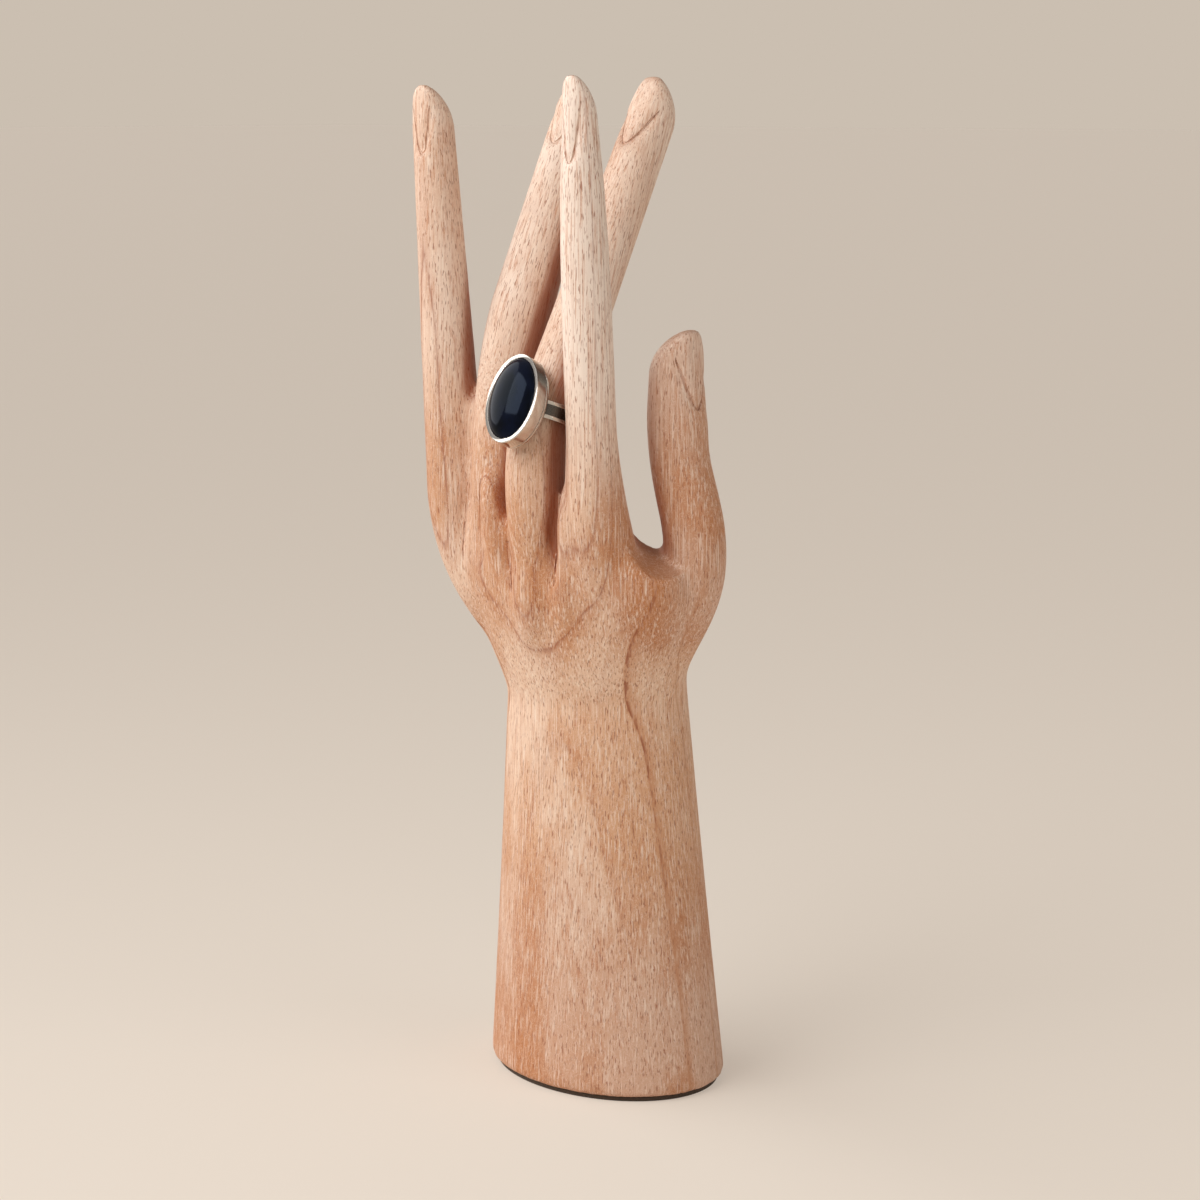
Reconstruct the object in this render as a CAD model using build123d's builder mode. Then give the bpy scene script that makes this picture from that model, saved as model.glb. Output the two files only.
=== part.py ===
import os
from math import cos, radians, sin, tan

from build123d import *

# A display hand carved from one block of wood, with a ring on its middle finger.
# Millimetres. +Z is up, the back of the hand faces -Y, the thumb is on the +X side,
# and the origin is the centre of the foot on the surface that it stands on.

# Foot and forearm: a straight taper from an oval foot to the wrist
FOOT_LENGTH = 86.0
FOOT_WIDTH = 66.0
FOOT_TURN = -15.0
FOOT_EDGE_ROUND = 1.0
FELT_THICKNESS = 1.2
FELT_INSET = 2.0
WRIST_HEIGHT = 120.0
WRIST_LENGTH = 61.0
WRIST_WIDTH = 47.0
WRIST_X = -2.0
WRIST_Y = -2.4

# Palm: flares from the wrist to round knuckles, and is scooped out on its inner side
PALM_HEIGHT = 165.0
PALM_LENGTH = 82.5
PALM_TURN = 4.0
PALM_X = -4.0
PALM_Y = -15.0
PALM_FULL_HEIGHT = 153.0
PALM_FLARE = 1.25
PALM_STEPS = 10
KNUCKLE_WIDTH = 31.0
KNUCKLE_RISE = 14.0
HOLLOW_RADIUS = 48.0
HOLLOW_X = -8.0
HOLLOW_Y = 30.0
HOLLOW_Z = 185.0

# Web between the thumb and the index finger: a round channel that rises towards the inner side
WEB_RADIUS = 14.0
WEB_X = 40.0
WEB_Y = -17.6
WEB_HEIGHT = 159.0
WEB_BEARING = 40.0
WEB_SLOPE = 20.0

# Fingers: each rises from inside the palm on a curve and then runs straight to a chisel-shaped tip
FINGERTIP_HEIGHT = 308.0
ROOT_HEIGHT = 132.0
ROOT_SLOPE = 0.45
ROOT_FLARE = 1.3
FAN_HEIGHT = 35.0
FINGER_TAPER = 1.0
TIP_LENGTH = 14.0
TIP_FULLNESS = 0.95
TIP_THINNING = 1.3
TIP_LIFT = 0.9
NAIL_LENGTH = 21.0
NAIL_WIDTH = 9.6
NAIL_DEPTH = 1.3
NAIL_STEP = 0.3
ROOT_STEPS = 6
RUN_STEPS = 5
TIP_STEPS = 4

# Index finger: upright
INDEX_WIDTH = 15.2
INDEX_ROOT_WIDTH = 33.0
INDEX_NECK_WIDTH = 10.8
INDEX_TAPER = 3.3
INDEX_ROOT_SHIFT = -6.0
INDEX_ROOT_Y = -8.0
INDEX_BEND_Y = -26.6
INDEX_BEND_HEIGHT = 203.0
INDEX_LEAN = -1.6
INDEX_SPLAY = 1.4

# Middle finger: leans towards the palm, and carries the ring
MIDDLE_WIDTH = 18.4
MIDDLE_ROOT_WIDTH = 18.0
MIDDLE_NECK_WIDTH = 15.6
MIDDLE_X = -4.0
MIDDLE_ROOT_Y = -15.0
MIDDLE_BEND_Y = -24.8
MIDDLE_BEND_HEIGHT = 206.0
MIDDLE_LEAN = 29.7
MIDDLE_DROP = 3.0

# Ring finger: leans towards the palm beside the middle finger
RING_FINGER_WIDTH = 19.4
RING_FINGER_ROOT_WIDTH = 18.4
RING_FINGER_NECK_WIDTH = 15.0
RING_FINGER_ROOT_SHIFT = 8.0
RING_FINGER_ROOT_Y = -16.0
RING_FINGER_BEND_Y = -9.0
RING_FINGER_BEND_HEIGHT = 238.0
RING_FINGER_LEAN = 24.0
RING_FINGER_DROP = 6.0

# Little finger: upright, and splayed outwards
LITTLE_WIDTH = 18.6
LITTLE_ROOT_WIDTH = 20.0
LITTLE_NECK_WIDTH = 13.0
LITTLE_ROOT_SHIFT = 26.5
LITTLE_ROOT_Y = -11.0
LITTLE_BEND_Y = -20.8
LITTLE_BEND_HEIGHT = 182.0
LITTLE_SPLAY = 4.5
LITTLE_TUCK = 1.8
LITTLE_DROP = 3.0

# Thumb: swings out from the palm and comes back upright, with its nail outwards
THUMB_WIDTH = 17.8
THUMB_ROOT_WIDTH = 22.5
THUMB_NECK_WIDTH = 16.8
THUMB_ROOT_X = 10.0
THUMB_ROOT_HEIGHT = 118.0
THUMB_ROOT_SLOPE = 0.6
THUMB_KNEE_X = 33.0
THUMB_KNEE_Y = 2.0
THUMB_KNEE_HEIGHT = 166.0
THUMB_X = 27.0
THUMB_BEND_HEIGHT = 209.0
THUMB_TIP_HEIGHT = 233.0

# Ring: band, back plate and bezel in silver, and a domed oval stone
BAND_WIDTH = 5.4
BAND_THICKNESS = 1.6
BAND_GROOVE_DEPTH = 0.5
BAND_RAIL_WIDTH = 1.1
BORE_CLEARANCE = 1.0
BAND_CLEARANCE = 0.7
PLATE_GAP = 0.8
PLATE_THICKNESS = 0.8
BEZEL_LENGTH = 28.0
BEZEL_WIDTH = 19.0
BEZEL_WALL = 0.9
BEZEL_LIP = 1.3
BEZEL_SKEW = -6.0
STONE_GIRDLE = 3.4
STONE_DOME = 4.4
STONE_CLEARANCE = 0.05
RING_RISE = 0.5
RING_SAG = 5.0

# The band passes between the neighbours of the middle finger when the ring comes off
finger_gap = BORE_CLEARANCE + BAND_THICKNESS + BAND_CLEARANCE
index_x = MIDDLE_X + MIDDLE_WIDTH / 2 + finger_gap + INDEX_WIDTH / 2
ring_finger_x = MIDDLE_X - MIDDLE_WIDTH / 2 - finger_gap - RING_FINGER_WIDTH / 2
little_x = ring_finger_x - RING_FINGER_WIDTH / 2 - LITTLE_WIDTH / 2 + LITTLE_TUCK

back = Vector(0, -1, 0)
outward = Vector(1, 0, 0)


def blend(low, high, share):
    """The value a share of the way from low to high."""
    return low + (high - low) * share


def dome(x_radius, y_radius, rise):
    """Half an ellipsoid that stands on the XY plane."""
    with BuildPart() as half:
        Sphere(1, arc_size1=0, align=(Align.CENTER, Align.CENTER, Align.MIN))
        scale(by=(x_radius, y_radius, rise))
    return half.part


def ray(lean, splay=0.0):
    """The upward direction of a finger: lean is towards the palm, splay away from the thumb."""
    return Vector(-tan(radians(splay)), tan(radians(lean)), 1).normalized()


def section_plane(point, along, nail):
    """A plane across a finger, with its local +Y towards the nail."""
    return Plane(origin=point, x_dir=nail.cross(along), z_dir=along)


def finger_blank(curve, rise, run, tip_height, nail, root_width, width, neck_width, taper):
    """One finger: a curve through the given points, then a straight run to its tip."""
    tip = curve[-1] + run * (tip_height - curve[-1].Z) / run.Z
    neck = tip - run * TIP_LENGTH
    nail = (nail - run * nail.dot(run)).normalized()
    with BuildLine():
        bow = Spline(*curve, tangents=(rise, run))
    with BuildPart() as blank:
        for step in range(ROOT_STEPS + 1):
            share = step / ROOT_STEPS
            point = bow.position_at(bow.length * share, position_mode=PositionMode.LENGTH)
            tangent = bow.tangent_at(bow.length * share, position_mode=PositionMode.LENGTH)
            with BuildSketch(section_plane(point, tangent, nail)):
                Circle(blend(width, root_width, (1 - share) ** ROOT_FLARE) / 2)
        loft()
        for step in range(RUN_STEPS + 1):
            share = step / RUN_STEPS
            with BuildSketch(section_plane(curve[-1] + (neck - curve[-1]) * share, run, nail)):
                Circle(blend(width, neck_width, share**taper) / 2)
        loft(ruled=True)
        for step in range(TIP_STEPS + 1):
            share = step / TIP_STEPS
            narrowing = (1 - (TIP_FULLNESS * share) ** 2) ** 0.5
            thinning = narrowing**TIP_THINNING
            with BuildSketch(section_plane(neck + run * TIP_LENGTH * share, run, nail)):
                with Locations((0, TIP_LIFT * neck_width * (1 - thinning) / 2)):
                    Ellipse(neck_width * narrowing / 2, neck_width * thinning / 2)
        loft()
        nail_share = max(0, 1 - (NAIL_LENGTH - TIP_LENGTH) / (neck - curve[-1]).length)
        skin_width = blend(width, neck_width, nail_share**taper)
        nail_top = tip + nail * (neck_width / 2 - NAIL_DEPTH)
        nail_end = tip - run * NAIL_LENGTH + nail * (skin_width / 2 - NAIL_STEP)
        nail_across = nail.cross(run)
        nail_straight = NAIL_LENGTH - NAIL_WIDTH / 2
        nail_bed = Plane(origin=nail_top, x_dir=nail_across, z_dir=(nail_top - nail_end).cross(nail_across))
        with BuildSketch(nail_bed):
            with Locations((0, nail_straight / 2)):
                Rectangle(NAIL_WIDTH, nail_straight)
            with Locations((0, nail_straight)):
                Circle(NAIL_WIDTH / 2)
        extrude(amount=neck_width, mode=Mode.SUBTRACT)
    return blank.part


def upright_finger(x, root_shift, root_y, bend_y, bend_height, run, drop, widths):
    """A finger that rises from the back of the palm, fanned out from the wrist."""
    curve = [Vector(x + root_shift, root_y, ROOT_HEIGHT), Vector(x, bend_y, bend_height)]
    rise = Vector(-root_shift / FAN_HEIGHT, -ROOT_SLOPE, 1)
    return finger_blank(curve, rise, run, FINGERTIP_HEIGHT - drop, back, *widths)


def oval(height, x, y, length, width, turn):
    """One level oval of the arm."""
    with BuildSketch(Plane.XY.offset(height)) as level:
        with Locations((x, y)):
            Ellipse(length / 2, width / 2, rotation=turn)
    return level.sketch


def palm_section(share):
    """One oval of the palm, from the wrist (0) to the knuckles (1)."""
    height = blend(WRIST_HEIGHT, PALM_HEIGHT, share)
    flare = min(1, (height - WRIST_HEIGHT) / (PALM_FULL_HEIGHT - WRIST_HEIGHT)) ** PALM_FLARE
    shoulder = (1 - share**2) ** 0.5
    return oval(height, blend(WRIST_X, PALM_X, share), blend(WRIST_Y, PALM_Y, share),
                blend(WRIST_LENGTH, PALM_LENGTH, flare), blend(KNUCKLE_WIDTH, WRIST_WIDTH, shoulder),
                PALM_TURN * share)


middle_run = ray(MIDDLE_LEAN)
index_finger = upright_finger(index_x, INDEX_ROOT_SHIFT, INDEX_ROOT_Y, INDEX_BEND_Y, INDEX_BEND_HEIGHT,
                              ray(INDEX_LEAN, INDEX_SPLAY), 0,
                              (INDEX_ROOT_WIDTH, INDEX_WIDTH, INDEX_NECK_WIDTH, INDEX_TAPER))
middle_finger = upright_finger(MIDDLE_X, 0, MIDDLE_ROOT_Y, MIDDLE_BEND_Y, MIDDLE_BEND_HEIGHT,
                               middle_run, MIDDLE_DROP,
                               (MIDDLE_ROOT_WIDTH, MIDDLE_WIDTH, MIDDLE_NECK_WIDTH, FINGER_TAPER))
ring_finger = upright_finger(ring_finger_x, RING_FINGER_ROOT_SHIFT, RING_FINGER_ROOT_Y,
                             RING_FINGER_BEND_Y, RING_FINGER_BEND_HEIGHT,
                             ray(RING_FINGER_LEAN), RING_FINGER_DROP,
                             (RING_FINGER_ROOT_WIDTH, RING_FINGER_WIDTH, RING_FINGER_NECK_WIDTH,
                              FINGER_TAPER))
little_finger = upright_finger(little_x, LITTLE_ROOT_SHIFT, LITTLE_ROOT_Y, LITTLE_BEND_Y,
                               LITTLE_BEND_HEIGHT, ray(0, LITTLE_SPLAY), LITTLE_DROP,
                               (LITTLE_ROOT_WIDTH, LITTLE_WIDTH, LITTLE_NECK_WIDTH, FINGER_TAPER))
thumb_curve = [Vector(THUMB_ROOT_X, 0, THUMB_ROOT_HEIGHT),
               Vector(THUMB_KNEE_X, THUMB_KNEE_Y, THUMB_KNEE_HEIGHT),
               Vector(THUMB_X, 0, THUMB_BEND_HEIGHT)]
thumb = finger_blank(thumb_curve, Vector(THUMB_ROOT_SLOPE, 0, 1), ray(0), THUMB_TIP_HEIGHT, outward,
                     THUMB_ROOT_WIDTH, THUMB_WIDTH, THUMB_NECK_WIDTH, FINGER_TAPER)

with BuildPart() as carved_hand:
    foot = oval(FELT_THICKNESS, 0, 0, FOOT_LENGTH, FOOT_WIDTH, FOOT_TURN)
    palm = [palm_section(step / PALM_STEPS) for step in range(PALM_STEPS + 1)]
    loft([foot, *palm], ruled=True)
    fillet(carved_hand.faces().sort_by(Axis.Z)[0].edges(), radius=FOOT_EDGE_ROUND)
    knuckles = dome(PALM_LENGTH / 2, KNUCKLE_WIDTH / 2, KNUCKLE_RISE)
    add(knuckles.moved(Location((PALM_X, PALM_Y, PALM_HEIGHT), (0, 0, PALM_TURN))))
    with Locations((HOLLOW_X, HOLLOW_Y, HOLLOW_Z)):
        Sphere(HOLLOW_RADIUS, mode=Mode.SUBTRACT)
    web_run = Vector(-sin(radians(WEB_BEARING)), cos(radians(WEB_BEARING)), tan(radians(WEB_SLOPE)))
    with BuildSketch(Plane(origin=(WEB_X, WEB_Y, WEB_HEIGHT + WEB_RADIUS), z_dir=web_run)):
        Circle(WEB_RADIUS)
    extrude(amount=PALM_LENGTH, both=True, mode=Mode.SUBTRACT)
    for finger in (thumb, index_finger, middle_finger, ring_finger, little_finger):
        add(finger)
carved_hand.part.label = "carved_hand"

with BuildPart() as base_felt:
    with BuildSketch():
        Ellipse(FOOT_LENGTH / 2 - FELT_INSET, FOOT_WIDTH / 2 - FELT_INSET, rotation=FOOT_TURN)
    extrude(amount=FELT_THICKNESS)
base_felt.part.label = "base_felt"

# The ring hangs a little flatter than square to the finger, with its face to the back of the hand
ring_axis = ray(MIDDLE_LEAN - RING_SAG)
face = outward.cross(ring_axis)
across = face.cross(ring_axis)
ring_centre = Vector(MIDDLE_X, MIDDLE_BEND_Y, MIDDLE_BEND_HEIGHT) + middle_run * RING_RISE
bore = MIDDLE_WIDTH / 2 + BORE_CLEARANCE
seat = bore + PLATE_GAP
seat_plane = Plane(origin=ring_centre + face * seat, x_dir=across, z_dir=face)
skewed = across * cos(radians(BEZEL_SKEW)) + ring_axis * sin(radians(BEZEL_SKEW))
plate_plane = Plane(origin=seat_plane.origin, x_dir=skewed, z_dir=face)
wall_plane = plate_plane.offset(PLATE_THICKNESS)
stone_width = BEZEL_WIDTH / 2 - BEZEL_WALL - STONE_CLEARANCE
stone_length = BEZEL_LENGTH / 2 - BEZEL_WALL - STONE_CLEARANCE


def stone_form(clearance):
    """The stone's straight girdle and domed top, grown by a clearance all round."""
    width = stone_width + clearance
    length = stone_length + clearance
    top = dome(width, length, STONE_DOME + clearance)
    with BuildPart() as form:
        with BuildSketch():
            Ellipse(width, length)
        extrude(amount=STONE_GIRDLE)
        add(top.moved(Location((0, 0, STONE_GIRDLE))))
    return form.part.moved(wall_plane.location)


with BuildPart() as ring_shank:
    with BuildSketch(Plane(origin=ring_centre, x_dir=-face, z_dir=across)):
        with Locations((bore + BAND_THICKNESS / 2, 0)):
            Rectangle(BAND_THICKNESS, BAND_WIDTH)
        with Locations((bore + BAND_THICKNESS, 0)):
            Rectangle(2 * BAND_GROOVE_DEPTH, BAND_WIDTH - 2 * BAND_RAIL_WIDTH, mode=Mode.SUBTRACT)
    revolve(axis=Axis(ring_centre, ring_axis))
    with BuildSketch(seat_plane):
        Rectangle(4 * bore, 2 * BAND_WIDTH)
    extrude(amount=2 * BAND_THICKNESS, mode=Mode.SUBTRACT)
ring_shank.part.label = "ring_shank"

with BuildPart() as bezel_plate:
    with BuildSketch(plate_plane):
        Ellipse(BEZEL_WIDTH / 2, BEZEL_LENGTH / 2)
    extrude(amount=PLATE_THICKNESS)
bezel_plate.part.label = "bezel_plate"

with BuildPart() as bezel_wall:
    with BuildSketch(wall_plane):
        Ellipse(BEZEL_WIDTH / 2, BEZEL_LENGTH / 2)
    extrude(amount=STONE_GIRDLE + BEZEL_LIP)
    add(stone_form(STONE_CLEARANCE), mode=Mode.SUBTRACT)
bezel_wall.part.label = "bezel_wall"

with BuildPart() as cabochon:
    add(stone_form(0))
cabochon.part.label = "cabochon"

os.makedirs("parts", exist_ok=True)
for piece in (carved_hand, base_felt, ring_shank, bezel_plate, bezel_wall, cabochon):
    export_step(piece.part, f"parts/{piece.part.label}.step")
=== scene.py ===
from math import cos, radians, sin, sqrt, tan

import bpy
import numpy
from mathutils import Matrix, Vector
from mathutils.bvhtree import BVHTree


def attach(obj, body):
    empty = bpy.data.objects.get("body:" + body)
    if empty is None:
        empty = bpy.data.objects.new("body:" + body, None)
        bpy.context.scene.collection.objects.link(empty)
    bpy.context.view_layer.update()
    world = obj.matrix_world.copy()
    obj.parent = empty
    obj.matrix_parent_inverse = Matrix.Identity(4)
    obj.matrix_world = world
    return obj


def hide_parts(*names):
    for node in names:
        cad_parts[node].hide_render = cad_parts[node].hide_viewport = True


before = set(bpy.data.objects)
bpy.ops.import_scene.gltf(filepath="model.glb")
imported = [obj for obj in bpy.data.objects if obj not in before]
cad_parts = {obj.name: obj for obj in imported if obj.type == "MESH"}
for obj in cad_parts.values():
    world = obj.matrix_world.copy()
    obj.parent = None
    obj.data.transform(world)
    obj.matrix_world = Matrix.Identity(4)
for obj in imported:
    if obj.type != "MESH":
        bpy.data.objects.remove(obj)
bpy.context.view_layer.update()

# The hand: forearm, palm, thumb and fingers, carved by gouge and knife from one block of pale,
# open-pored wood that stands along its grain. The nails and the creases between the fingers are
# cut in last, and the wood is sanded and rubbed with a thin white wash.
MM = 0.001
MERGE = 0.002 * MM
SMOOTHING = 0.5


def select_only(piece):
    """Makes one piece the selected and the active one."""
    bpy.ops.object.select_all(action="DESELECT")
    piece.select_set(True)
    bpy.context.view_layer.objects.active = piece


def weld(piece):
    """Merges the points of a piece that lie on each other."""
    select_only(piece)
    bpy.ops.object.mode_set(mode="EDIT")
    bpy.ops.mesh.select_all(action="SELECT")
    bpy.ops.mesh.remove_doubles(threshold=MERGE)
    bpy.ops.object.mode_set(mode="OBJECT")


def merged_copy(node, name):
    """A new object with a copy of a CAD node's mesh, its loose triangles merged."""
    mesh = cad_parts[node].data.copy()
    mesh.materials.clear()
    piece = bpy.data.objects.new(name, mesh)
    bpy.context.collection.objects.link(piece)
    weld(piece)
    return piece


def finish_with(piece, kind, **settings):
    """Adds one modifier to a piece and applies it."""
    select_only(piece)
    modifier = piece.modifiers.new(kind.lower(), kind)
    for name, value in settings.items():
        setattr(modifier, name, value)
    bpy.ops.object.modifier_apply(modifier=modifier.name)


def join_to(piece, others):
    """Makes other objects part of a piece's mesh."""
    select_only(piece)
    for other in others:
        other.select_set(True)
    bpy.ops.object.join()


def ramp_up(value, low, high):
    """A smooth step from 0 at low to 1 at high."""
    share = min(1, max(0, (value - low) / (high - low)))
    return share * share * (3 - 2 * share)


# The roots of the fingers swell out of the back of the hand. Each swelling has its centre and its
# radii in millimetres, and its lean in degrees.
SWELLINGS = {
    "ring_knuckle": ((-19.0, -27.4, 171), (5.0, 6.6, 21), -11),
    "middle_root": ((-4.5, -25.5, 156), (9.5, 9.6, 23), 0),
    "index_root": ((8, -25.8, 157), (6.5, 7.4, 18), 3),
    "little_root": ((-30, -23, 160), (6, 7, 20), -14),
    "index_side": ((10.4, -27.6, 174), (4.8, 6.2, 18), 3),
}
SWELLING_SEGMENTS = 32
SWELLING_RINGS = 24
ROOT_VOXEL = 1.2 * MM
ROOT_ROUNDS = 18
ROOTS_LOW = 104
ROOTS_FULL_LOW = 118
ROOTS_FULL_HIGH = 166
ROOTS_HIGH = 180
WEB = Vector((30, -11, 168))
WEB_REACH = 11
WEB_FADE = 18


def swelling(name, centre, radii, lean):
    """A long rounded swelling of the flesh, leaned sideways."""
    bpy.ops.object.select_all(action="DESELECT")
    bpy.ops.mesh.primitive_uv_sphere_add(
        segments=SWELLING_SEGMENTS, ring_count=SWELLING_RINGS, radius=MM,
        location=Vector(centre) * MM, rotation=(0, radians(lean), 0), scale=radii)
    bpy.ops.object.transform_apply(location=True, rotation=True, scale=True)
    bpy.context.object.name = name
    return bpy.context.object


def root_weight(spot):
    """How much a spot, in millimetres, lies among the finger roots and clear of the thumb's web."""
    rise = ramp_up(spot.z, ROOTS_LOW, ROOTS_FULL_LOW)
    fall = 1 - ramp_up(spot.z, ROOTS_FULL_HIGH, ROOTS_HIGH)
    return rise * fall * ramp_up((spot - WEB).length, WEB_REACH, WEB_FADE)


hand = merged_copy("carved_hand", "wooden_hand")
join_to(hand, [swelling(name, *sizes) for name, sizes in SWELLINGS.items()])
finish_with(hand, "REMESH", mode="VOXEL", voxel_size=ROOT_VOXEL)
roots = hand.vertex_groups.new(name="roots")
for vertex in hand.data.vertices:
    weight = root_weight(vertex.co / MM)
    if weight > 0:
        roots.add([vertex.index], weight, "REPLACE")
finish_with(hand, "SMOOTH", factor=SMOOTHING, iterations=ROOT_ROUNDS, vertex_group="roots")

GOUGE_SIDES = 3
GOUGE_TIP = 0.12
GOUGE_VOXEL = 0.3 * MM


def gouge(name, touches, width, depth, fade):
    """A round tool along points of the skin, thin at both ends, with its cut's width and depth."""
    line = bpy.data.curves.new(name, "CURVE")
    line.dimensions = "3D"
    line.bevel_depth = width / 2 * MM
    line.bevel_resolution = GOUGE_SIDES
    line.use_fill_caps = True
    spline = line.splines.new("NURBS")
    spline.points.add(len(touches) - 1)
    for step, (slot, (point, normal)) in enumerate(zip(spline.points, touches)):
        share = step / (len(touches) - 1)
        slot.co = (*(point + normal * (width / 2 - depth) * MM), 1)
        slot.radius = GOUGE_TIP + (1 - GOUGE_TIP) * ramp_up(min(share, 1 - share), 0, fade)
    spline.use_endpoint_u = True
    spline.order_u = 3
    tool = bpy.data.objects.new(name, line)
    bpy.context.collection.objects.link(tool)
    select_only(tool)
    bpy.ops.object.convert(target="MESH")
    tool = bpy.context.object
    weld(tool)
    return tool


# Each nail has the place of its tip in millimetres, the finger's lean and splay in degrees, the way
# that it faces, and its length, its spread and the finger's thickness in millimetres.
BACK = (0, -1, 0)
OUTWARD = (1, 0, 0)
NAILS = {
    "index_nail": ((13.5, -29.5, 308), -1.6, 1.4, BACK, 25.5, 4.9, 11),
    "middle_nail": ((-4, 31.7, 305), 29.7, 0, BACK, 24.3, 9.0, 15.8),
    "ring_nail": ((-26.2, 19.5, 302), 24, 0, BACK, 18.5, 7.5, 15.2),
    "little_nail": ((-53.1, -20.8, 305), 0, 4.5, BACK, 20.5, 4.7, 13.2),
    "thumb_nail": ((27, 0, 236.4), 0, 0, OUTWARD, 26.2, 10.6, 19.4),
}
NAIL_POINTS = 21
NAIL_REACH = 0.94
NAIL_FADE = 0.12


def nail_edge(tip, lean, splay, facing, length, spread, thickness):
    """The curved edge of a nail on the skin: widest near the fingertip, and round at its lower end."""
    run = Vector((-tan(radians(splay)), tan(radians(lean)), 1)).normalized()
    facing = Vector(facing)
    out = (facing - run * facing.dot(run)).normalized()
    across = out.cross(run)
    reach = min(1, thickness / 2 / spread) * NAIL_REACH
    touches = []
    for step in range(NAIL_POINTS):
        side = reach * (2 * step / (NAIL_POINTS - 1) - 1)
        aside = spread * side
        lift = sqrt(max(0, (thickness / 2) ** 2 - aside**2))
        guess = Vector(tip) - run * length * (1 - side**2) + across * aside + out * lift
        touches.append(hand.closest_point_on_mesh(guess * MM)[1:3])
    return touches


# Each crease between two fingers has its depth, and the X and Z of the places that it runs through,
# all in millimetres.
CREASES = {
    "index_crease": (2.6, ((6.2, 188), (5.8, 184), (5.2, 177), (5.0, 170), (5.2, 163), (5.9, 156),
                           (6.6, 150))),
    "middle_crease": (2.0, ((-14.6, 190), (-14.4, 186), (-14.2, 180), (-14.0, 173), (-12.8, 165),
                            (-11.2, 157), (-10.0, 148))),
    "knuckle_crease": (1.4, ((-23.0, 194), (-24.4, 188), (-25.4, 181), (-25.6, 174), (-25.0, 167),
                             (-23.6, 159), (-21.6, 151))),
    "little_crease": (1.6, ((-35.0, 186), (-35.0, 182), (-34.8, 176), (-34.6, 168), (-33.8, 160),
                            (-32.0, 152))),
}
CREASE_START = -100 * MM
CREASE_DEEPEST = -7 * MM
CREASE_FADE = 0.45
INTO_HAND = (0, 1, 0)


def crease_line(places):
    """Where a crease runs on the skin of the back of the hand."""
    touches = []
    for x, z in places:
        start = Vector((x * MM, CREASE_START, z * MM))
        struck, point = hand.ray_cast(start, Vector(INTO_HAND))[:2]
        if struck and point.y < CREASE_DEEPEST:
            touches.append((point, Vector(BACK)))
    return touches


SAW_CENTRE = Vector((5.3, -28, 187)) * MM
SAW_SIZE = Vector((2.0, 24, 42)) * MM


def saw_cut():
    """The narrow cut that parts the index finger from the middle one."""
    bpy.ops.object.select_all(action="DESELECT")
    bpy.ops.mesh.primitive_cube_add(size=1, location=SAW_CENTRE, scale=SAW_SIZE)
    bpy.ops.object.transform_apply(location=True, rotation=True, scale=True)
    return bpy.context.object


def carve(nail_width, nail_depth, crease_width, crease_share, cuts):
    """Cuts the edges of the nails, the creases of the fingers and other cuts into the hand."""
    tools = list(cuts)
    for name, sizes in NAILS.items():
        tools.append(gouge(name, nail_edge(*sizes), nail_width, nail_depth, NAIL_FADE))
    for name, (deepest, places) in CREASES.items():
        depth = deepest * crease_share
        tools.append(gouge(name, crease_line(places), crease_width, depth, CREASE_FADE))
    tool = tools[0]
    join_to(tool, tools[1:])
    finish_with(tool, "REMESH", mode="VOXEL", voxel_size=GOUGE_VOXEL)
    finish_with(hand, "BOOLEAN", operation="DIFFERENCE", object=tool, solver="EXACT")
    bpy.data.objects.remove(tool)


# Broad scoops come first and are sanded soft. Fine knife lines along the same edges follow.
SCOOP_WIDTH = 3.2
SCOOP_DEPTH = 1.1
FOLD_WIDTH = 4.6
FOLD_SHARE = 1.0
KNIFE_WIDTH = 1.0
KNIFE_DEPTH = 0.58
KNIFE_SHARE = 0.26
SKIN_VOXEL = 1.1 * MM
SKIN_ROUNDS = 3
SKIN_CREASE = radians(38)
carve(SCOOP_WIDTH, SCOOP_DEPTH, FOLD_WIDTH, FOLD_SHARE, [saw_cut()])
finish_with(hand, "REMESH", mode="VOXEL", voxel_size=SKIN_VOXEL)
finish_with(hand, "SMOOTH", factor=SMOOTHING, iterations=SKIN_ROUNDS)
carve(KNIFE_WIDTH, KNIFE_DEPTH, KNIFE_WIDTH, KNIFE_SHARE, [])
select_only(hand)
bpy.ops.object.shade_smooth_by_angle(angle=SKIN_CREASE)

# Painted shade: the wood is darkened between the fingers and in the cut lines, where other flesh
# faces the skin. The wood is also darker where it is cut across its grain.
GAP_REACH = 24 * MM
GAP_START = 0.02
GAP_RAYS = ((0, 0, 0), (0.55, 0, 0), (-0.55, 0, 0), (0, 0, 0.55), (0, 0, -0.55))
GAP_ROUNDS = 10
END_GRAIN_ROUNDS = 3


def evened(mesh, values, rounds):
    """Values of the points of a mesh, evened out between neighbours."""
    ends = numpy.zeros(2 * len(mesh.edges), dtype=int)
    mesh.edges.foreach_get("vertices", ends)
    first, second = ends[0::2], ends[1::2]
    counts = numpy.maximum(numpy.bincount(ends, minlength=len(values)), 1)
    for _ in range(rounds):
        sums = numpy.bincount(first, values[second], len(values))
        sums += numpy.bincount(second, values[first], len(values))
        values = sums / counts
    return values


def store(mesh, name, values):
    """Keeps a value for each point of a mesh under a name."""
    mesh.attributes.new(name, "FLOAT", "POINT").data.foreach_set("value", values)


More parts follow.
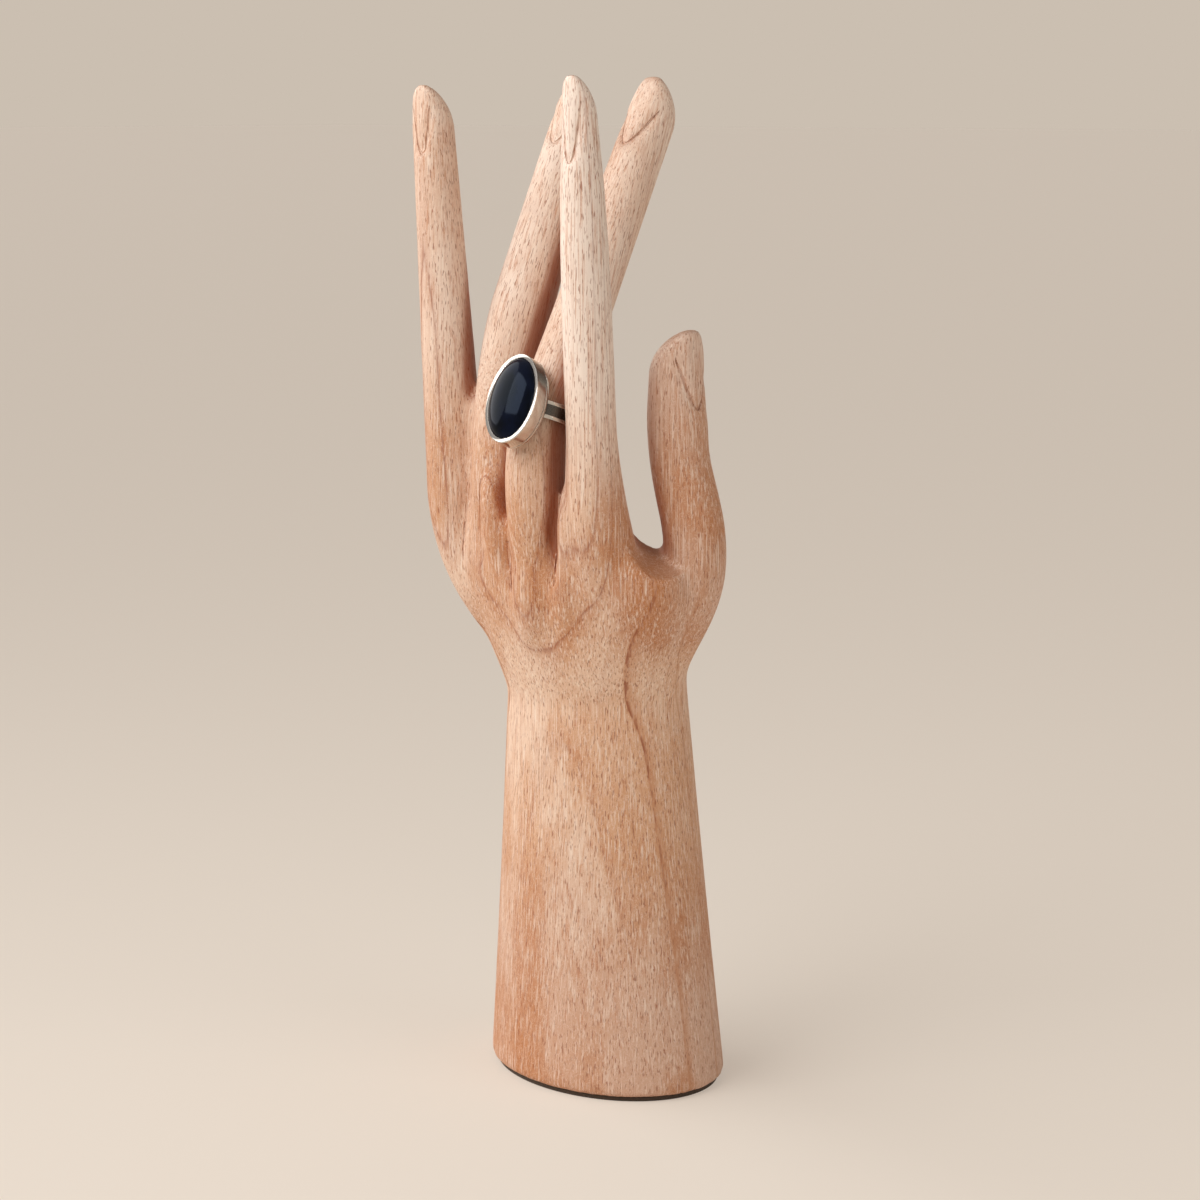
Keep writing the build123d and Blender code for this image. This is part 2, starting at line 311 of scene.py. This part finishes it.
def mark_gaps(piece):
    """Stores how closely other flesh faces the skin, from 0 in the open to 1 in a narrow gap."""
    mesh = piece.data
    skin = BVHTree.FromObject(piece, bpy.context.evaluated_depsgraph_get())
    gaps = numpy.zeros(len(mesh.vertices))
    for vertex in mesh.vertices:
        start = vertex.co + vertex.normal * GAP_START * GAP_REACH
        for slant in GAP_RAYS:
            heading = (vertex.normal + Vector(slant)).normalized()
            distance = skin.ray_cast(start, heading, GAP_REACH)[3]
            if distance is not None:
                gaps[vertex.index] += (1 - distance / GAP_REACH) / len(GAP_RAYS)
    store(mesh, "gap", evened(mesh, gaps, GAP_ROUNDS))


def mark_end_grain(piece):
    """Stores how squarely the wood is cut across its grain at each point."""
    mesh = piece.data
    across = numpy.array([abs(vertex.normal.z) for vertex in mesh.vertices])
    store(mesh, "end_grain", evened(mesh, across, END_GRAIN_ROUNDS))


# The gap value darkens the wood as painted shade.
mark_gaps(hand)
mark_end_grain(hand)


class Wire:
    """The output of a shader node, which can be used in ordinary arithmetic."""

    def __init__(self, tree, output):
        self.tree = tree
        self.output = output

    def node(self, kind, settings, sockets, output=0):
        """Adds a node: its settings are set first, then the values or links of its sockets."""
        made = self.tree.nodes.new(kind)
        for name, value in settings.items():
            if name == "stops":
                stops = made.color_ramp.elements
                while len(stops) < len(value):
                    stops.new(1)
                for stop, (position, colour) in zip(stops, value):
                    stop.position = position
                    stop.color = colour
            else:
                setattr(made, name, value)
        for name, value in sockets.items():
            if isinstance(value, Wire):
                self.tree.links.new(value.output, made.inputs[name])
            else:
                made.inputs[name].default_value = value
        return Wire(self.tree, made.outputs[output])

    def maths(self, operation, first, second):
        """A Math node on two numbers or wires."""
        return self.node("ShaderNodeMath", {"operation": operation}, {0: first, 1: second})

    def __add__(self, other):
        return self.maths("ADD", self, other)

    def __radd__(self, other):
        return self.maths("ADD", other, self)

    def __sub__(self, other):
        return self.maths("SUBTRACT", self, other)

    def __rsub__(self, other):
        return self.maths("SUBTRACT", other, self)

    def __mul__(self, other):
        return self.maths("MULTIPLY", self, other)

    def __rmul__(self, other):
        return self.maths("MULTIPLY", other, self)

    def __truediv__(self, other):
        return self.maths("DIVIDE", self, other)

    def __rtruediv__(self, other):
        return self.maths("DIVIDE", other, self)

    def __abs__(self):
        return self.maths("ABSOLUTE", self, 0)

    def vectors(self, operation, other, output=0):
        """A Vector Math node on this wire and another vector."""
        return self.node("ShaderNodeVectorMath", {"operation": operation}, {0: self, 1: other}, output)

    def between(self, low, high):
        """0 below low and 1 above high, smooth in between."""
        return self.node("ShaderNodeMapRange", {"interpolation_type": "SMOOTHSTEP"},
                         {"Value": self, "From Min": low, "From Max": high})

    def noise(self, grain, detail=2, curl=0):
        """Noise at this place, with the size of its grains along X, Y and Z in millimetres."""
        scaled = self.node("ShaderNodeMapping", {"vector_type": "POINT"},
                           {"Vector": self, "Scale": tuple(1 / (size * MM) for size in grain)})
        return self.node("ShaderNodeTexNoise", {"noise_dimensions": "3D"},
                         {"Vector": scaled, "Scale": 1, "Detail": detail, "Distortion": curl})

    def patches(self, grain, detail, low, high):
        """Patches of noise that come in between two of its levels."""
        return self.noise(grain, detail).between(low, high)

    def colours(self, first, second):
        """The colour that this share makes between two others."""
        return self.node("ShaderNodeMix", {"data_type": "RGBA"}, {0: self, 6: first, 7: second}, 2)

    def tint(self, other, share):
        """This colour, changed towards another by a share."""
        return share.colours(self, other)

    def bump(self, strength, height):
        """The normal of a surface with this relief."""
        return self.node("ShaderNodeBump", {},
                         {"Height": self, "Strength": strength, "Distance": height})


def new_material(name):
    """A material, its shader and the place of each point on the piece."""
    material = bpy.data.materials.new(name)
    material.use_nodes = True
    tree = material.node_tree
    shader = tree.nodes["Principled BSDF"]
    place = Wire(tree, tree.nodes.new("ShaderNodeTexCoord").outputs["Object"])
    return material, shader, place


def plug(wire, shader, name):
    """Links a wire to one of the shader's sockets."""
    wire.tree.links.new(wire.output, shader.inputs[name])


def srgb(red, green, blue):
    """A colour written in screen values from 0 to 255."""
    def linear(value):
        share = value / 255
        return share / 12.92 if share <= 0.04045 else ((share + 0.055) / 1.055) ** 2.4
    return (linear(red), linear(green), linear(blue), 1.0)


EARLY_WOOD = srgb(230, 187, 152)
LATE_WOOD_AND_SHADE = srgb(190, 124, 76)
GAP_SHADE = srgb(160, 78, 36)
END_GRAIN = srgb(158, 104, 70)
STREAK = srgb(146, 72, 38)
PORE = srgb(154, 88, 56)
PALE_FIBRE = srgb(250, 231, 214)
RED_FIBRE = srgb(192, 124, 82)
WASH_AND_LIGHT = srgb(245, 226, 211)

# Each growth ring or dark streak has its radius round the pith and its width in millimetres, and
# its darkness. It darkens slowly towards its outer edge and ends there.
PITH = (-14 * MM, 180 * MM, 0)
LEVEL = (1, 1, 0)
WAVER = 2.2 * MM
WAVER_GRAIN = (22, 22, 90)
RINGS = ((150, 2.6, 0.5), (163, 2.6, 0.6), (174, 2.6, 0.5), (182, 2.6, 0.6), (190, 2.4, 0.5),
         (195, 2.0, 0.45), (203, 2.0, 0.5), (207.2, 1.5, 1.0), (210.6, 2.9, 0.95), (217, 2.6, 0.7))
RINGS_INNER = 140
RINGS_OUTER = 225
RING_DROP = 0.35
RING_BEND = 4 * MM
STREAKS = ((176, 1.6, 0.5), (184, 1.8, 0.8), (197.8, 2.4, 1.0))
STREAKS_INNER = 165
STREAKS_OUTER = 215
STREAK_DROP = 0.45
STREAK_BEND = 7 * MM
STREAK_TOP_LOW = 158 * MM
STREAK_TOP = 178 * MM
STREAK_FOOT_LOW = 50 * MM
STREAK_FOOT = 95 * MM
STREAK_LEFT = -12 * MM
STREAK_RIGHT = -2 * MM
BEND_LOW = 105 * MM
BEND_HIGH = 145 * MM


def edge_stops(edges, inner, outer, drop):
    """The stops of a ramp over the radius: a slow rise to each edge, and a quick fall after it."""
    stops = [(0.0, (0, 0, 0, 1))]
    for edge, width, darkness in edges:
        for radius, level in ((edge - width, 0), (edge, darkness), (edge + drop, 0)):
            stops.append(((radius - inner) / (outer - inner), (level, level, level, 1)))
    return stops


def growth(radius, edges, inner, outer, drop):
    """How dark the wood is at a radius round the pith."""
    share = (radius / MM - inner) / (outer - inner)
    return share.node("ShaderNodeValToRGB", {"stops": edge_stops(edges, inner, outer, drop)},
                      {"Fac": share})


# The grain of the middle and the ring finger leans back with them.
GRAIN_LEAN = radians(22)
LEAN_LEFT = -38 * MM
LEAN_LEFT_FULL = -35 * MM
LEAN_RIGHT_FULL = 4.5 * MM
LEAN_RIGHT = 6 * MM
LEAN_LOW = 195 * MM
LEAN_HIGH = 225 * MM


def leaning_grain(place, aside, height):
    """Places on the hand, moved so that what runs upright there runs along the leaning fingers."""
    leaning = aside.between(LEAN_LEFT, LEAN_LEFT_FULL)
    leaning = leaning * (1 - aside.between(LEAN_RIGHT_FULL, LEAN_RIGHT))
    leaning = leaning * height.between(LEAN_LOW, LEAN_HIGH)
    backward = (height - LEAN_LOW) * leaning * tan(GRAIN_LEAN)
    return place.vectors("SUBTRACT", place.node("ShaderNodeCombineXYZ", {}, {1: backward}))


# Each pattern of the wood has the size of its grains along X, Y and Z in millimetres, its detail,
# and the two levels of noise that it comes in between.
DASHES = ((1.2, 1.2, 5), 2, 0.42, 0.58)
BREAKS = ((4, 4, 18), 3, 0.25, 0.6)
CLOUDS = ((24, 24, 60), 3, 0.36, 0.68)
RED_FIBRES = ((0.5, 0.5, 34), 3, 0.48, 0.68)
PALE_FIBRES = ((0.5, 0.5, 22), 3, 0.48, 0.72)
PORES = ((0.36, 0.36, 2.8), 1, 0.6, 0.69)
NOISE_MIDDLE = 0.5
CURL_GRAIN = (0.9, 0.9, 2.2)
CURL_TWIST = 1.6
CURL_CORE = 0.012
CURL_EDGE = 0.045

# The regions of the hand, by their heights and by their places across it.
PALM_LOW = 128 * MM
PALM_HIGH = 150 * MM
FINGERS_LOW = 176 * MM
FINGERS_HIGH = 250 * MM
FOOT_LOW = 20 * MM
FOOT_HIGH = 90 * MM
INDEX_INNER = 3 * MM
INDEX_OUTER = 8 * MM
THUMB_INNER = 21 * MM
THUMB_OUTER = 29 * MM
GAP_WIDE = 0.07
GAP_NARROW = 0.5
END_GRAIN_SLANT = 0.5
END_GRAIN_SQUARE = 0.85

# The shares of each colour, of the ring edges on the arm and their growth on the palm, and of the
# roughness and relief.
RING_WHOLE = 0.7
RING_BREAKS = 0.4
RING_ON_ARM = 0.4
RING_GROWTH = 0.6
RING_CORE_LOW = 0.7
RING_CORE_HIGH = 1.0
CORE_WHOLE = 0.4
CORE_DASHES = 0.6
CORE_ON_ARM = 0.2
CORE_GROWTH = 0.6
LATE_IN_CLOUDS = 0.42
LATE_ON_PALM = 0.28
# Painted shade on the thumb.
SHADE_ON_THUMB = 0.92
# Painted shade on the arm towards its foot.
SHADE_ON_FOOT = 1.0
WASH_IN_CLOUDS = 0.36
WASH_ON_FINGERS = 0.4
# Painted light on the index finger.
LIGHT_ON_INDEX = 0.9
RED_SHARE = 0.6
PALE_SHARE = 0.58
CURL_SHARE = 0.28
STREAK_SOFT_SHARE = 0.6
STREAK_CORE_LOW = 0.66
STREAK_CORE_HIGH = 0.96
STREAK_SHARE = 0.75
PORE_SHARE = 0.68
GAP_SHADE_SHARE = 0.74
END_GRAIN_SHARE = 0.5
WOOD_ROUGHNESS = 0.58
PORE_ROUGHNESS = 0.2
RED_GLOSS = 0.06
PALE_RELIEF = 0.4
CURL_RELIEF = 0.3
RED_RELIEF = 0.3
WOOD_BUMP = 0.45
WOOD_RELIEF = 0.16 * MM


def wood_material():
    """Growth rings, dark streaks, fibres and pores along the grain, a white wash, painted shade and
    light.
    """
    material, shader, place = new_material("pale_wood")
    aside = place.node("ShaderNodeSeparateXYZ", {}, {0: place}, 0)
    height = place.node("ShaderNodeSeparateXYZ", {}, {0: place}, 2)
    gap = place.node("ShaderNodeAttribute", {"attribute_name": "gap"}, {}, 2)
    gap = gap.between(GAP_WIDE, GAP_NARROW)
    end_grain = place.node("ShaderNodeAttribute", {"attribute_name": "end_grain"}, {}, 2)
    end_grain = end_grain.between(END_GRAIN_SLANT, END_GRAIN_SQUARE)

    radius = place.vectors("MULTIPLY", LEVEL).vectors("DISTANCE", PITH, 1)
    radius = radius + (place.noise(WAVER_GRAIN) - NOISE_MIDDLE) * WAVER
    bend = height.between(BEND_LOW, BEND_HIGH)
    rings = growth(radius - bend * RING_BEND, RINGS, RINGS_INNER, RINGS_OUTER, RING_DROP)
    streaks = growth(radius - bend * STREAK_BEND, STREAKS, STREAKS_INNER, STREAKS_OUTER, STREAK_DROP)
    streaks = streaks * (1 - height.between(STREAK_TOP_LOW, STREAK_TOP))
    left = 1 - aside.between(STREAK_LEFT, STREAK_RIGHT)
    streaked = left.maths("MAXIMUM", left, height.between(STREAK_FOOT_LOW, STREAK_FOOT))

    fingers = height.between(FINGERS_LOW, FINGERS_HIGH)
    above_wrist = height.between(PALM_LOW, PALM_HIGH)
    palm = above_wrist * (1 - fingers)
    # Painted shade darkens the thumb.
    thumb = aside.between(THUMB_INNER, THUMB_OUTER) * above_wrist
    # Painted light brightens the index finger through the wash.
    index = aside.between(INDEX_INNER, INDEX_OUTER) * fingers * (1 - thumb)
    # Painted shade: the arm is darkened towards its foot, where less light falls.
    foot = 1 - height.between(FOOT_LOW, FOOT_HIGH)

    dashes = place.patches(*DASHES)
    breaks = place.patches(*BREAKS)
    clouds = place.patches(*CLOUDS)
    grain = leaning_grain(place, aside, height)
    red_fibres = grain.patches(*RED_FIBRES)
    pale_fibres = grain.patches(*PALE_FIBRES)
    pores = grain.patches(*PORES)
    curls = abs(place.noise(CURL_GRAIN, detail=1, curl=CURL_TWIST) - NOISE_MIDDLE)
    curls = 1 - curls.between(CURL_CORE, CURL_EDGE)

    ring_share = rings * (RING_WHOLE + breaks * RING_BREAKS) * (RING_ON_ARM + bend * RING_GROWTH)
    core_share = rings.between(RING_CORE_LOW, RING_CORE_HIGH) * (CORE_WHOLE + dashes * CORE_DASHES)
    core_share = core_share * (CORE_ON_ARM + bend * CORE_GROWTH)
    streak_share = streaks.between(STREAK_CORE_LOW, STREAK_CORE_HIGH) * dashes * streaked
    late_and_shade_share = (1 - clouds) * LATE_IN_CLOUDS + palm * LATE_ON_PALM
    # Painted shade: the thumb and the arm towards its foot are darkened with the late wood colour.
    late_and_shade_share = late_and_shade_share + thumb * SHADE_ON_THUMB + foot * SHADE_ON_FOOT
    # Painted light: the index finger is brightened with the wash colour.
    wash_and_light_share = clouds * WASH_IN_CLOUDS + fingers * WASH_ON_FINGERS + index * LIGHT_ON_INDEX

    colour = ring_share.colours(EARLY_WOOD, LATE_WOOD_AND_SHADE)
    colour = colour.tint(LATE_WOOD_AND_SHADE, late_and_shade_share)
    colour = colour.tint(WASH_AND_LIGHT, wash_and_light_share)
    colour = colour.tint(RED_FIBRE, red_fibres * RED_SHARE)
    colour = colour.tint(PALE_FIBRE, pale_fibres * PALE_SHARE)
    colour = colour.tint(PALE_FIBRE, curls * CURL_SHARE)
    colour = colour.tint(LATE_WOOD_AND_SHADE, streaks * STREAK_SOFT_SHARE)
    colour = colour.tint(STREAK, streak_share * STREAK_SHARE)
    colour = colour.tint(STREAK, core_share)
    colour = colour.tint(PORE, pores * PORE_SHARE)
    # Painted shade between the fingers and in the cut lines.
    colour = colour.tint(GAP_SHADE, gap * GAP_SHADE_SHARE)
    colour = colour.tint(END_GRAIN, end_grain * END_GRAIN_SHARE)
    plug(colour, shader, "Base Color")
    plug(WOOD_ROUGHNESS + pores * PORE_ROUGHNESS - red_fibres * RED_GLOSS, shader, "Roughness")
    relief = pale_fibres * PALE_RELIEF + curls * CURL_RELIEF - pores - red_fibres * RED_RELIEF
    plug(relief.bump(WOOD_BUMP, WOOD_RELIEF), shader, "Normal")
    return material


hand.data.materials.append(wood_material())
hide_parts("carved_hand")
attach(hand, "hand")

# The felt: a thin dark pad of pressed wool, cut a little smaller than the foot and glued under it.
# It shows only as a dark line where the hand meets the table: its dark colour is also painted shade.
FELT_DARK_AND_SHADE = srgb(54, 44, 37)
FELT_LIGHT = srgb(92, 78, 66)
FELT_ROUGHNESS = 0.95
FUZZ_GRAIN = (0.4, 0.4, 0.4)
HAIRS = ((2.2, 0.15, 0.3), 2, 0.6, 0.72)
HAIR_SHARE = 0.5
HAIR_RELIEF = 0.3
FELT_BUMP = 0.5
FELT_RELIEF = 0.2 * MM


def felt_material():
    """Dark pressed wool with short stray hairs."""
    material, shader, place = new_material("felt_and_shade_line")
    shader.inputs["Roughness"].default_value = FELT_ROUGHNESS
    fuzz = place.noise(FUZZ_GRAIN, detail=3)
    hairs = place.patches(*HAIRS)
    colour = fuzz.colours(FELT_DARK_AND_SHADE, FELT_LIGHT)
    plug(colour.tint(FELT_LIGHT, hairs * HAIR_SHARE), shader, "Base Color")
    relief = fuzz + hairs * HAIR_RELIEF
    plug(relief.bump(FELT_BUMP, FELT_RELIEF), shader, "Normal")
    return material


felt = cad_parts["base_felt"]
felt.data.materials.clear()
felt.data.materials.append(felt_material())

# The ring's band: a strip of silver with a channel between two rails, bent round the finger and
# soldered under the plate at its open ends. The rails are polished, and the channel is painted dark as
# shade.
SILVER_BRIGHT = srgb(226, 222, 216)
SILVER_DULL = srgb(196, 190, 182)
RECESS_SHADE = srgb(40, 36, 34)
WEAR_GRAIN = (1.6, 1.6, 1.6)
SCRATCHES = ((0.12, 0.12, 3.5), 2, 0.58, 0.7)
SILVER_ROUGHNESS = 0.07
WEAR_ROUGHNESS = 0.1
SCRATCH_ROUGHNESS = 0.08
RECESS_ROUGHNESS = 0.12
RECESS_SHADE_SHARE = 0.85
SCRATCH_BUMP = 0.08
SCRATCH_RELIEF = 0.02 * MM
RING_CENTRE = (-4 * MM, -24.55 * MM, 206.43 * MM)
RING_LEAN = radians(24.7)
CHANNEL_HALF = 1.5 * MM
CHANNEL_EDGE = 1.75 * MM
EDGE_ROUND = 0.16 * MM
EDGE_SEGMENTS = 4
EDGE_ANGLE = radians(35)
SILVER_CREASE = radians(30)
ring_axis = Vector((0, sin(RING_LEAN), cos(RING_LEAN)))


def from_ring(place, heading):
    """How far a place is from the centre of the ring along a heading."""
    return place.vectors("SUBTRACT", RING_CENTRE).vectors("DOT_PRODUCT", heading, 1)


def channel(place):
    """1 in the channel between the rails of the band, where shade is painted."""
    return 1 - abs(from_ring(place, ring_axis)).between(CHANNEL_HALF, CHANNEL_EDGE)


def silver_material(name, shaded_recess):
    """Polished silver with fine scratches and faint wear, and painted shade darkening a recess."""
    material, shader, place = new_material(name)
    shader.inputs["Metallic"].default_value = 1.0
    wear = place.noise(WEAR_GRAIN, detail=4)
    scratches = place.patches(*SCRATCHES)
    colour = wear.colours(SILVER_BRIGHT, SILVER_DULL)
    roughness = SILVER_ROUGHNESS + wear * WEAR_ROUGHNESS + scratches * SCRATCH_ROUGHNESS
    if shaded_recess:
        # Painted shade in the recess: the channel of the band and the seam at the bezel's rim.
        recess = shaded_recess(place)
        colour = colour.tint(RECESS_SHADE, recess * RECESS_SHADE_SHARE)
        roughness = roughness + recess * RECESS_ROUGHNESS
    plug(colour, shader, "Base Color")
    plug(roughness, shader, "Roughness")
    plug(scratches.bump(SCRATCH_BUMP, SCRATCH_RELIEF), shader, "Normal")
    return material


def round_edges(piece):
    """Takes the sharpness off the edges of a piece of sheet silver."""
    finish_with(piece, "BEVEL", width=EDGE_ROUND, segments=EDGE_SEGMENTS, limit_method="ANGLE",
                angle_limit=EDGE_ANGLE)


def polish(piece, shaded_recess):
    """Gives a piece its smooth shading and its silver."""
    select_only(piece)
    bpy.ops.object.shade_smooth_by_angle(angle=SILVER_CREASE)
    piece.data.materials.append(silver_material(piece.name, shaded_recess))


band = merged_copy("ring_shank", "silver_band")
round_edges(band)
polish(band, channel)
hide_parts("ring_shank")
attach(band, "ring")

# The ring's plate: a flat oval cut from silver sheet. It closes the band at the top and carries the
# bezel and the stone, soldered to both the band and the bezel.
plate = merged_copy("bezel_plate", "silver_plate")
round_edges(plate)
polish(plate, None)
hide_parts("bezel_plate")
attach(plate, "ring")

# The bezel: an oval wall of silver, soldered round the plate and pressed in over the edge of the
# stone. Its rim is rubbed round and smooth, and painted shade darkens it where it meets the stone.
RING_SKEW = radians(-6)
BEZEL_HALF_WIDTH = 9.5 * MM
BEZEL_HALF_LENGTH = 14 * MM
SEAM_INNER = 0.92
SEAM_OUTER = 0.96
RIM_VOXEL = 0.15 * MM
RIM_ROUNDS = 14
ring_face = Vector((0, -cos(RING_LEAN), sin(RING_LEAN)))
ring_across = Vector((cos(RING_SKEW), 0, 0)) + ring_axis * sin(RING_SKEW)
ring_lengthwise = ring_face.cross(ring_across)


def seam(place):
    """1 where the rim of the bezel meets the stone, where shade is painted."""
    aside = from_ring(place, ring_across) / BEZEL_HALF_WIDTH
    along = from_ring(place, ring_lengthwise) / BEZEL_HALF_LENGTH
    squared = aside * aside + along * along
    return 1 - squared.between(SEAM_INNER**2, SEAM_OUTER**2)


bezel = merged_copy("bezel_wall", "silver_bezel")
finish_with(bezel, "REMESH", mode="VOXEL", voxel_size=RIM_VOXEL)
finish_with(bezel, "SMOOTH", factor=SMOOTHING, iterations=RIM_ROUNDS)
polish(bezel, seam)
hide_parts("bezel_wall")
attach(bezel, "ring")

# The stone: a black oval cabochon, ground to a low dome and polished to a high gloss.
# The rim of the bezel is pressed in over its edge and holds it down on the plate.
STONE_BLACK = srgb(4, 5, 8)
STONE_NAVY = srgb(10, 15, 32)
STONE_GLOSS = srgb(186, 208, 240)
STONE_DEPTHS = ((7, 7, 9), 3, 0.35, 0.65)
STONE_ROUGHNESS = 0.1
STONE_SPECULAR = 0.14
STONE_CREASE = radians(40)


def stone_material():
    """Black stone with a faint navy depth."""
    material, shader, place = new_material("black_stone")
    shader.inputs["Roughness"].default_value = STONE_ROUGHNESS
    shader.inputs["Specular IOR Level"].default_value = STONE_SPECULAR
    shader.inputs["Specular Tint"].default_value = STONE_GLOSS
    plug(place.patches(*STONE_DEPTHS).colours(STONE_BLACK, STONE_NAVY), shader, "Base Color")
    return material


stone = merged_copy("cabochon", "black_cabochon")
select_only(stone)
bpy.ops.object.shade_smooth_by_angle(angle=STONE_CREASE)
stone.data.materials.append(stone_material())
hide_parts("cabochon")
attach(stone, "ring")

# The stage: a plain pale floor that runs to the horizon and a pale backdrop. Both show to the camera
# a little brighter than they light the hand.
FLOOR_SIZE = 60.0
FLOOR_COLOUR = srgb(244, 233, 220)
FLOOR_ROUGHNESS = 0.75
FLOOR_GLOW = srgb(227, 214, 200)
FLOOR_LIFT = 0.5
BACKDROP = srgb(203, 191, 177)
AMBIENT = 0.32


def shown_directly(tree):
    """1 for what the camera sees itself, mirrored or through glass, and 0 for light on the hand."""
    rays = tree.nodes.new("ShaderNodeLightPath")
    seen = Wire(tree, rays.outputs["Is Camera Ray"])
    mirrored = Wire(tree, rays.outputs["Is Glossy Ray"])
    through = Wire(tree, rays.outputs["Is Transmission Ray"])
    return seen.maths("MAXIMUM", seen, seen.maths("MAXIMUM", mirrored, through))


def floor_material():
    """A pale floor that keeps the shadow of the hand."""
    material, shader, place = new_material("pale_floor")
    shader.inputs["Base Color"].default_value = FLOOR_COLOUR
    shader.inputs["Roughness"].default_value = FLOOR_ROUGHNESS
    tree = material.node_tree
    lift = shown_directly(tree) * FLOOR_LIFT
    glow = place.node("ShaderNodeEmission", {}, {"Color": FLOOR_GLOW, "Strength": 1.0})
    surface = Wire(tree, shader.outputs[0])
    mixed = place.node("ShaderNodeMixShader", {}, {0: lift, 1: surface, 2: glow})
    plug(mixed, tree.nodes["Material Output"], "Surface")
    return material


bpy.ops.object.select_all(action="DESELECT")
bpy.ops.mesh.primitive_plane_add(size=FLOOR_SIZE)
floor = bpy.context.object
floor.name = "floor"
floor.data.materials.append(floor_material())

world = bpy.data.worlds.new("studio")
bpy.context.scene.world = world
world.use_nodes = True
sky = world.node_tree.nodes["Background"]
sky.inputs["Color"].default_value = BACKDROP
plug(AMBIENT + shown_directly(world.node_tree) * (1 - AMBIENT), sky, "Strength")

# The lamps: wide soft light from a window on the left, a soft key lamp above the camera's left, and
# a weak fill lamp on the right. Powers are in watts, or in watts on each square metre for the window.
FINGERS = (0, 0, 0.22)
ARM = (0, 0, 0.08)
WINDOW_PLACE = (-0.9, -0.3, 0.72)
WINDOW_POWER = 1.5
WINDOW_WIDTH = radians(60)
KEY_PLACE = (-0.14, -0.62, 0.74)
KEY_POWER = 4.9
FILL_PLACE = (0.85, 0.05, 0.4)
FILL_POWER = 1.6
LAMP_SIZE = 0.6


def new_lamp(name, kind, power, place, aim):
    """A lamp of one kind and power at a place, facing a point."""
    light = bpy.data.lights.new(name, kind)
    light.energy = power
    lamp = bpy.data.objects.new(name, light)
    bpy.context.collection.objects.link(lamp)
    lamp.location = place
    lamp.rotation_euler = (Vector(aim) - Vector(place)).to_track_quat("-Z", "Y").to_euler()
    return light


window = new_lamp("window", "SUN", WINDOW_POWER, WINDOW_PLACE, FINGERS)
window.angle = WINDOW_WIDTH
key = new_lamp("key", "AREA", KEY_POWER, KEY_PLACE, FINGERS)
key.size = LAMP_SIZE
fill = new_lamp("fill", "AREA", FILL_POWER, FILL_PLACE, ARM)
fill.size = LAMP_SIZE

# The camera: a long lens in front of the back of the hand, turned to the thumb's side and looking a
# little down.
CAMERA_PLACE = (0.585027, -0.700654, 0.299309)
CAMERA_TILT = radians(80.6)
CAMERA_TURN = radians(40)
CAMERA_LENS = 90
CAMERA_SENSOR = 36
camera_data = bpy.data.cameras.new("photo_view")
camera_data.lens = CAMERA_LENS
camera_data.sensor_width = CAMERA_SENSOR
camera = bpy.data.objects.new("photo_view", camera_data)
bpy.context.collection.objects.link(camera)
camera.location = CAMERA_PLACE
camera.rotation_euler = (CAMERA_TILT, 0, CAMERA_TURN)
bpy.context.scene.camera = camera
bpy.context.scene.view_settings.view_transform = "Standard"
